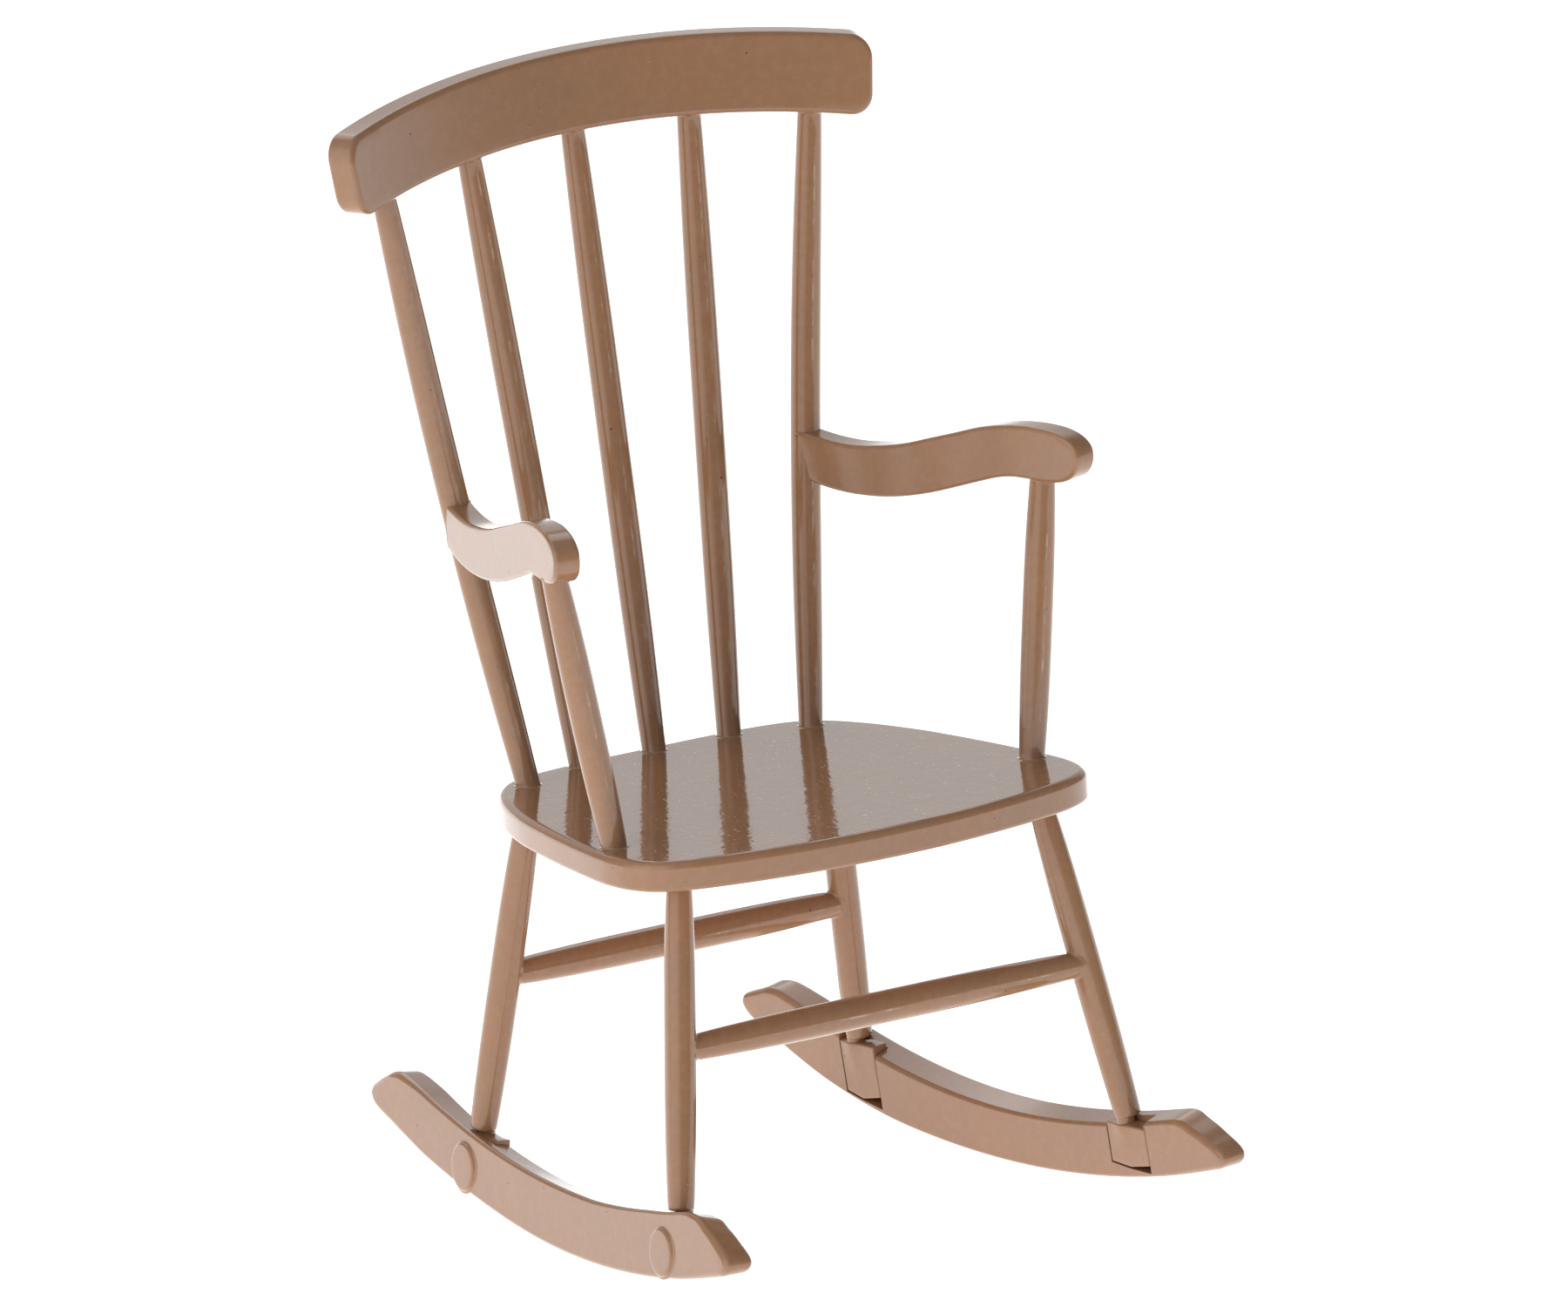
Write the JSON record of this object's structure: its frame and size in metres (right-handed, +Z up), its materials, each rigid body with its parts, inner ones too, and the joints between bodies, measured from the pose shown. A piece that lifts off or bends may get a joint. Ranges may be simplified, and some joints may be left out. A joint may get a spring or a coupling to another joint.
{
  "type": "miniature rocking chair",
  "caption": "Small enamelled metal rocking armchair with a fanned spindle back, bowed crest rail, S-shaped arms, splayed legs and curved rockers, for dolls.",
  "frame": {"origin": "on the floor under the middle of the chair's overall box, chair standing at rest on its rockers", "axes": "+Z up, -Y the way the chair faces, +X the sitter's left"},
  "size_m": [0.0738, 0.0938, 0.1285],
  "materials": {
    "enamel": "high gloss enamel"
  },
  "bodies": {
    "root": {"seat": "enamel", "crest_rail": "enamel", "back_spindle_1": "enamel", "back_spindle_2": "enamel", "back_spindle_3": "enamel", "back_spindle_4": "enamel", "back_spindle_5": "enamel", "arm_right": "enamel", "arm_post_right": "enamel", "leg_front_right": "enamel", "leg_rear_right": "enamel", "rocker_right": "enamel", "rocker_pin_front_right": "enamel", "rocker_pin_rear_right": "enamel", "arm_left": "enamel", "arm_post_left": "enamel", "leg_front_left": "enamel", "leg_rear_left": "enamel", "rocker_left": "enamel", "rocker_pin_front_left": "enamel", "rocker_pin_rear_left": "enamel", "stretcher_front": "enamel", "stretcher_rear": "enamel"}
  },
  "joints": []
}
